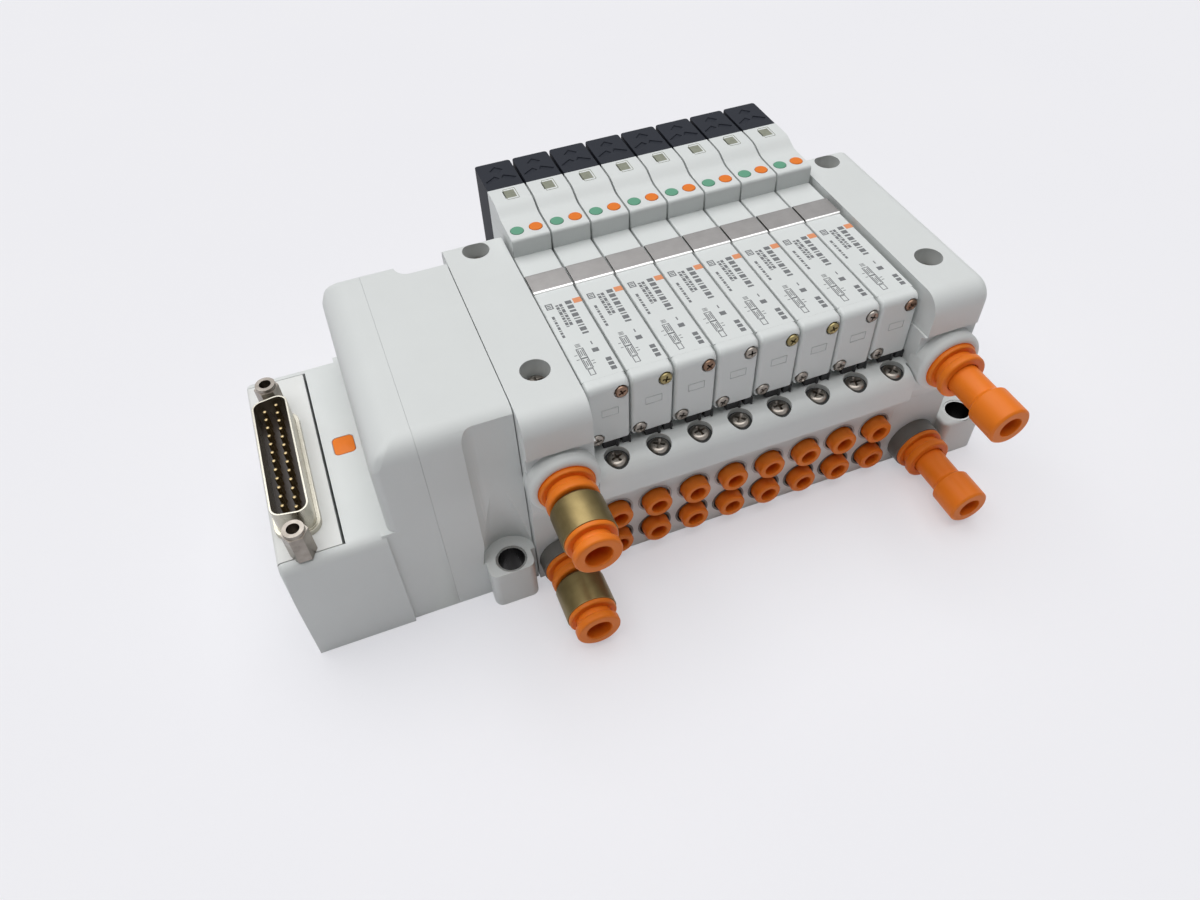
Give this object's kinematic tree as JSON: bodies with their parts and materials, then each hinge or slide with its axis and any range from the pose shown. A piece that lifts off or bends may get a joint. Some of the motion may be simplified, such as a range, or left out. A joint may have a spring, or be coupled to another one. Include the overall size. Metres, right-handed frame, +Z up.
{
  "type": "pneumatic valve island",
  "caption": "Plug-in pneumatic valve manifold with solenoid valves in a row, push-in tube ports, end blocks and a multi-pin connector housing.",
  "frame": {"origin": "centre of the four mounting holes, on the underside", "axes": "+X along the row towards the plugged ports, +Y from the tube ports to the pilot caps, +Z up"},
  "size_m": [0.1845, 0.1154, 0.0656],
  "materials": {
    "case_grey": "pale grey moulded glass-filled resin",
    "panel_white": "white moulded resin",
    "valve_white": "off-white moulded resin",
    "cap_blue_black": "blue-black moulded resin",
    "dark_grey": "dark grey moulded resin",
    "black_plastic": "black moulded insulator",
    "orange": "orange moulded acetal",
    "green": "green moulded acetal",
    "lamp_window": "smoky translucent window",
    "brass": "turned brass, satin",
    "nickel": "nickel-plated steel",
    "steel": "stainless steel",
    "gold": "gold-plated contact"
  },
  "bodies": {
    "root": {"manifold_base": "case_grey", "left_end_block": "case_grey", "right_end_block": "case_grey", "junction_block": "case_grey", "connector_housing": "case_grey", "connector_panel": "panel_white", "dsub_shell": "nickel", "dsub_insulator": "black_plastic", "contact_pins": "gold", "jackscrews": "nickel", "mounting_bushes": "steel", "valve_bodies": "valve_white", "valve_covers": "valve_white", "retainer_plates": "steel", "pilot_covers": "valve_white", "pilot_caps": "cap_blue_black", "lamp_windows": "lamp_window", "machine_screws": "nickel", "port_cartridges": "dark_grey", "port_guides": "orange", "brass_adaptors": "brass", "port_plugs": "orange"},
    "collar_upper_1": {"collar_upper_1": "orange"},
    "collar_lower_1": {"collar_lower_1": "orange"},
    "override_green_1": {"override_green_1": "green"},
    "override_orange_1": {"override_orange_1": "orange"},
    "collar_upper_2": {"collar_upper_2": "orange"},
    "collar_lower_2": {"collar_lower_2": "orange"},
    "override_green_2": {"override_green_2": "green"},
    "override_orange_2": {"override_orange_2": "orange"},
    "collar_upper_3": {"collar_upper_3": "orange"},
    "collar_lower_3": {"collar_lower_3": "orange"},
    "override_green_3": {"override_green_3": "green"},
    "override_orange_3": {"override_orange_3": "orange"},
    "collar_upper_4": {"collar_upper_4": "orange"},
    "collar_lower_4": {"collar_lower_4": "orange"},
    "override_green_4": {"override_green_4": "green"},
    "override_orange_4": {"override_orange_4": "orange"},
    "collar_upper_5": {"collar_upper_5": "orange"},
    "collar_lower_5": {"collar_lower_5": "orange"},
    "override_green_5": {"override_green_5": "green"},
    "override_orange_5": {"override_orange_5": "orange"},
    "collar_upper_6": {"collar_upper_6": "orange"},
    "collar_lower_6": {"collar_lower_6": "orange"},
    "override_green_6": {"override_green_6": "green"},
    "override_orange_6": {"override_orange_6": "orange"},
    "collar_upper_7": {"collar_upper_7": "orange"},
    "collar_lower_7": {"collar_lower_7": "orange"},
    "override_green_7": {"override_green_7": "green"},
    "override_orange_7": {"override_orange_7": "orange"},
    "collar_upper_8": {"collar_upper_8": "orange"},
    "collar_lower_8": {"collar_lower_8": "orange"},
    "override_green_8": {"override_green_8": "green"},
    "override_orange_8": {"override_orange_8": "orange"},
    "collar_left_upper": {"collar_left_upper": "orange"},
    "collar_left_lower": {"collar_left_lower": "orange"},
    "collar_right_upper": {"collar_right_upper": "orange"},
    "collar_right_lower": {"collar_right_lower": "orange"},
    "adaptor_collar_upper": {"adaptor_collar_upper": "orange"},
    "adaptor_collar_lower": {"adaptor_collar_lower": "orange"}
  },
  "joints": [
    {"name": "collar_upper_1_press", "type": "slide", "parent": "root", "child": "collar_upper_1", "axis": [0, 1, 0], "range_m": [0, 0.0009], "stiffness_N_per_m": 400, "springref_m": -0.001},
    {"name": "collar_lower_1_press", "type": "slide", "parent": "root", "child": "collar_lower_1", "axis": [0, 1, 0], "range_m": [0, 0.0009], "stiffness_N_per_m": 400, "springref_m": -0.001},
    {"name": "override_green_1_press", "type": "slide", "parent": "root", "child": "override_green_1", "axis": [0, 0, -1], "range_m": [0, 0.001], "stiffness_N_per_m": 500, "springref_m": -0.001},
    {"name": "override_orange_1_press", "type": "slide", "parent": "root", "child": "override_orange_1", "axis": [0, 0, -1], "range_m": [0, 0.001], "stiffness_N_per_m": 500, "springref_m": -0.001},
    {"name": "collar_upper_2_press", "type": "slide", "parent": "root", "child": "collar_upper_2", "axis": [0, 1, 0], "range_m": [0, 0.0009], "stiffness_N_per_m": 400, "springref_m": -0.001},
    {"name": "collar_lower_2_press", "type": "slide", "parent": "root", "child": "collar_lower_2", "axis": [0, 1, 0], "range_m": [0, 0.0009], "stiffness_N_per_m": 400, "springref_m": -0.001},
    {"name": "override_green_2_press", "type": "slide", "parent": "root", "child": "override_green_2", "axis": [0, 0, -1], "range_m": [0, 0.001], "stiffness_N_per_m": 500, "springref_m": -0.001},
    {"name": "override_orange_2_press", "type": "slide", "parent": "root", "child": "override_orange_2", "axis": [0, 0, -1], "range_m": [0, 0.001], "stiffness_N_per_m": 500, "springref_m": -0.001},
    {"name": "collar_upper_3_press", "type": "slide", "parent": "root", "child": "collar_upper_3", "axis": [0, 1, 0], "range_m": [0, 0.0009], "stiffness_N_per_m": 400, "springref_m": -0.001},
    {"name": "collar_lower_3_press", "type": "slide", "parent": "root", "child": "collar_lower_3", "axis": [0, 1, 0], "range_m": [0, 0.0009], "stiffness_N_per_m": 400, "springref_m": -0.001},
    {"name": "override_green_3_press", "type": "slide", "parent": "root", "child": "override_green_3", "axis": [0, 0, -1], "range_m": [0, 0.001], "stiffness_N_per_m": 500, "springref_m": -0.001},
    {"name": "override_orange_3_press", "type": "slide", "parent": "root", "child": "override_orange_3", "axis": [0, 0, -1], "range_m": [0, 0.001], "stiffness_N_per_m": 500, "springref_m": -0.001},
    {"name": "collar_upper_4_press", "type": "slide", "parent": "root", "child": "collar_upper_4", "axis": [0, 1, 0], "range_m": [0, 0.0009], "stiffness_N_per_m": 400, "springref_m": -0.001},
    {"name": "collar_lower_4_press", "type": "slide", "parent": "root", "child": "collar_lower_4", "axis": [0, 1, 0], "range_m": [0, 0.0009], "stiffness_N_per_m": 400, "springref_m": -0.001},
    {"name": "override_green_4_press", "type": "slide", "parent": "root", "child": "override_green_4", "axis": [0, 0, -1], "range_m": [0, 0.001], "stiffness_N_per_m": 500, "springref_m": -0.001},
    {"name": "override_orange_4_press", "type": "slide", "parent": "root", "child": "override_orange_4", "axis": [0, 0, -1], "range_m": [0, 0.001], "stiffness_N_per_m": 500, "springref_m": -0.001},
    {"name": "collar_upper_5_press", "type": "slide", "parent": "root", "child": "collar_upper_5", "axis": [0, 1, 0], "range_m": [0, 0.0009], "stiffness_N_per_m": 400, "springref_m": -0.001},
    {"name": "collar_lower_5_press", "type": "slide", "parent": "root", "child": "collar_lower_5", "axis": [0, 1, 0], "range_m": [0, 0.0009], "stiffness_N_per_m": 400, "springref_m": -0.001},
    {"name": "override_green_5_press", "type": "slide", "parent": "root", "child": "override_green_5", "axis": [0, 0, -1], "range_m": [0, 0.001], "stiffness_N_per_m": 500, "springref_m": -0.001},
    {"name": "override_orange_5_press", "type": "slide", "parent": "root", "child": "override_orange_5", "axis": [0, 0, -1], "range_m": [0, 0.001], "stiffness_N_per_m": 500, "springref_m": -0.001},
    {"name": "collar_upper_6_press", "type": "slide", "parent": "root", "child": "collar_upper_6", "axis": [0, 1, 0], "range_m": [0, 0.0009], "stiffness_N_per_m": 400, "springref_m": -0.001},
    {"name": "collar_lower_6_press", "type": "slide", "parent": "root", "child": "collar_lower_6", "axis": [0, 1, 0], "range_m": [0, 0.0009], "stiffness_N_per_m": 400, "springref_m": -0.001},
    {"name": "override_green_6_press", "type": "slide", "parent": "root", "child": "override_green_6", "axis": [0, 0, -1], "range_m": [0, 0.001], "stiffness_N_per_m": 500, "springref_m": -0.001},
    {"name": "override_orange_6_press", "type": "slide", "parent": "root", "child": "override_orange_6", "axis": [0, 0, -1], "range_m": [0, 0.001], "stiffness_N_per_m": 500, "springref_m": -0.001},
    {"name": "collar_upper_7_press", "type": "slide", "parent": "root", "child": "collar_upper_7", "axis": [0, 1, 0], "range_m": [0, 0.0009], "stiffness_N_per_m": 400, "springref_m": -0.001},
    {"name": "collar_lower_7_press", "type": "slide", "parent": "root", "child": "collar_lower_7", "axis": [0, 1, 0], "range_m": [0, 0.0009], "stiffness_N_per_m": 400, "springref_m": -0.001},
    {"name": "override_green_7_press", "type": "slide", "parent": "root", "child": "override_green_7", "axis": [0, 0, -1], "range_m": [0, 0.001], "stiffness_N_per_m": 500, "springref_m": -0.001},
    {"name": "override_orange_7_press", "type": "slide", "parent": "root", "child": "override_orange_7", "axis": [0, 0, -1], "range_m": [0, 0.001], "stiffness_N_per_m": 500, "springref_m": -0.001},
    {"name": "collar_upper_8_press", "type": "slide", "parent": "root", "child": "collar_upper_8", "axis": [0, 1, 0], "range_m": [0, 0.0009], "stiffness_N_per_m": 400, "springref_m": -0.001},
    {"name": "collar_lower_8_press", "type": "slide", "parent": "root", "child": "collar_lower_8", "axis": [0, 1, 0], "range_m": [0, 0.0009], "stiffness_N_per_m": 400, "springref_m": -0.001},
    {"name": "override_green_8_press", "type": "slide", "parent": "root", "child": "override_green_8", "axis": [0, 0, -1], "range_m": [0, 0.001], "stiffness_N_per_m": 500, "springref_m": -0.001},
    {"name": "override_orange_8_press", "type": "slide", "parent": "root", "child": "override_orange_8", "axis": [0, 0, -1], "range_m": [0, 0.001], "stiffness_N_per_m": 500, "springref_m": -0.001},
    {"name": "collar_left_upper_press", "type": "slide", "parent": "root", "child": "collar_left_upper", "axis": [0, 1, 0], "range_m": [0, 0.0015], "stiffness_N_per_m": 600, "springref_m": -0.001},
    {"name": "collar_left_lower_press", "type": "slide", "parent": "root", "child": "collar_left_lower", "axis": [0, 1, 0], "range_m": [0, 0.0015], "stiffness_N_per_m": 600, "springref_m": -0.001},
    {"name": "collar_right_upper_press", "type": "slide", "parent": "root", "child": "collar_right_upper", "axis": [0, 1, 0], "range_m": [0, 0.0015], "stiffness_N_per_m": 600, "springref_m": -0.001},
    {"name": "collar_right_lower_press", "type": "slide", "parent": "root", "child": "collar_right_lower", "axis": [0, 1, 0], "range_m": [0, 0.0015], "stiffness_N_per_m": 600, "springref_m": -0.001},
    {"name": "adaptor_collar_upper_press", "type": "slide", "parent": "root", "child": "adaptor_collar_upper", "axis": [0, 1, 0], "range_m": [0, 0.0015], "stiffness_N_per_m": 600, "springref_m": -0.001},
    {"name": "adaptor_collar_lower_press", "type": "slide", "parent": "root", "child": "adaptor_collar_lower", "axis": [0, 1, 0], "range_m": [0, 0.0015], "stiffness_N_per_m": 600, "springref_m": -0.001}
  ]
}
